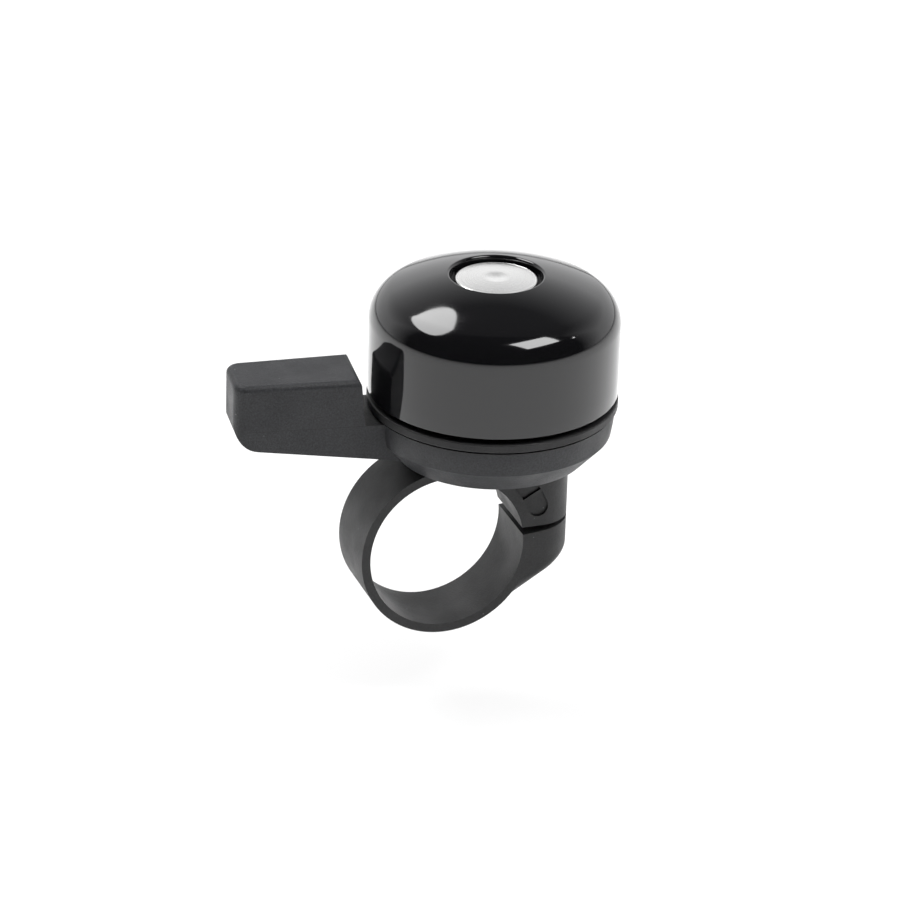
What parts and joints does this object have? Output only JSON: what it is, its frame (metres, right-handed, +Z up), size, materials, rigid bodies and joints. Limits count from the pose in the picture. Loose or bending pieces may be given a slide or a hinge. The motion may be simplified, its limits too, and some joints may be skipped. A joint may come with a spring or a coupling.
{
  "type": "bicycle bell",
  "caption": "Thumb-lever bicycle bell: a dome over a turning lever cup, on a plastic clamp for a round handlebar.",
  "frame": {"origin": "centre of the handlebar clamp's bore", "axes": "+Y along the handlebar, +Z up and parallel to the dome's axis, +X from the bar towards the clamp screw; the thumb lever points to -X"},
  "size_m": [0.0536, 0.0344, 0.0507],
  "materials": {
    "clamp_plastic": "matt moulded",
    "lever_plastic": "fine spark-textured",
    "tray_plastic": "matt, fine turned lines on the rim",
    "dome_black": "gloss black",
    "screw_silver": "satin",
    "zinc_steel": "zinc plated",
    "pin_steel": "bright",
    "spring_steel": "oiled",
    "spacer_aluminium": "turned",
    "insert_brass": "plain",
    "grommet_rubber": "plain",
    "nylon": "plain"
  },
  "bodies": {
    "clamp": {"clamp_body": "clamp_plastic", "clamp_screw": "zinc_steel", "clamp_washer": "zinc_steel", "clamp_nut": "zinc_steel", "thrust_washer": "nylon", "threaded_insert": "insert_brass", "mechanism_tray": "tray_plastic", "pivot_pin": "pin_steel", "pivot_washer": "nylon", "pivot_clip": "spring_steel", "dome_spacer": "spacer_aluminium", "dome_grommet": "grommet_rubber", "bell_dome": "dome_black", "head_washer": "nylon", "dome_screw": "screw_silver", "return_spring": "spring_steel"},
    "lever": {"lever_cup": "lever_plastic", "drive_pin": "pin_steel"},
    "striker": {"striker_arm": "pin_steel", "striker_head": "pin_steel"}
  },
  "joints": [
    {"name": "lever_swing", "type": "hinge", "parent": "clamp", "child": "lever", "pos_m": [0.00765, 0, 0.016], "axis": [0, 0, 1], "range_deg": [0, 20], "stiffness_Nm_per_rad": 0.05, "springref_deg": -8.59, "deforming": ["return_spring"]},
    {"name": "striker_swing", "type": "hinge", "parent": "clamp", "child": "striker", "pos_m": [0.01569, 0.00675, 0.022], "axis": [0, 0, 1], "range_deg": [-38, 0]}
  ],
  "couplings": [
    {"joint": "striker_swing", "follows": "lever_swing", "ratio": -1.9}
  ]
}
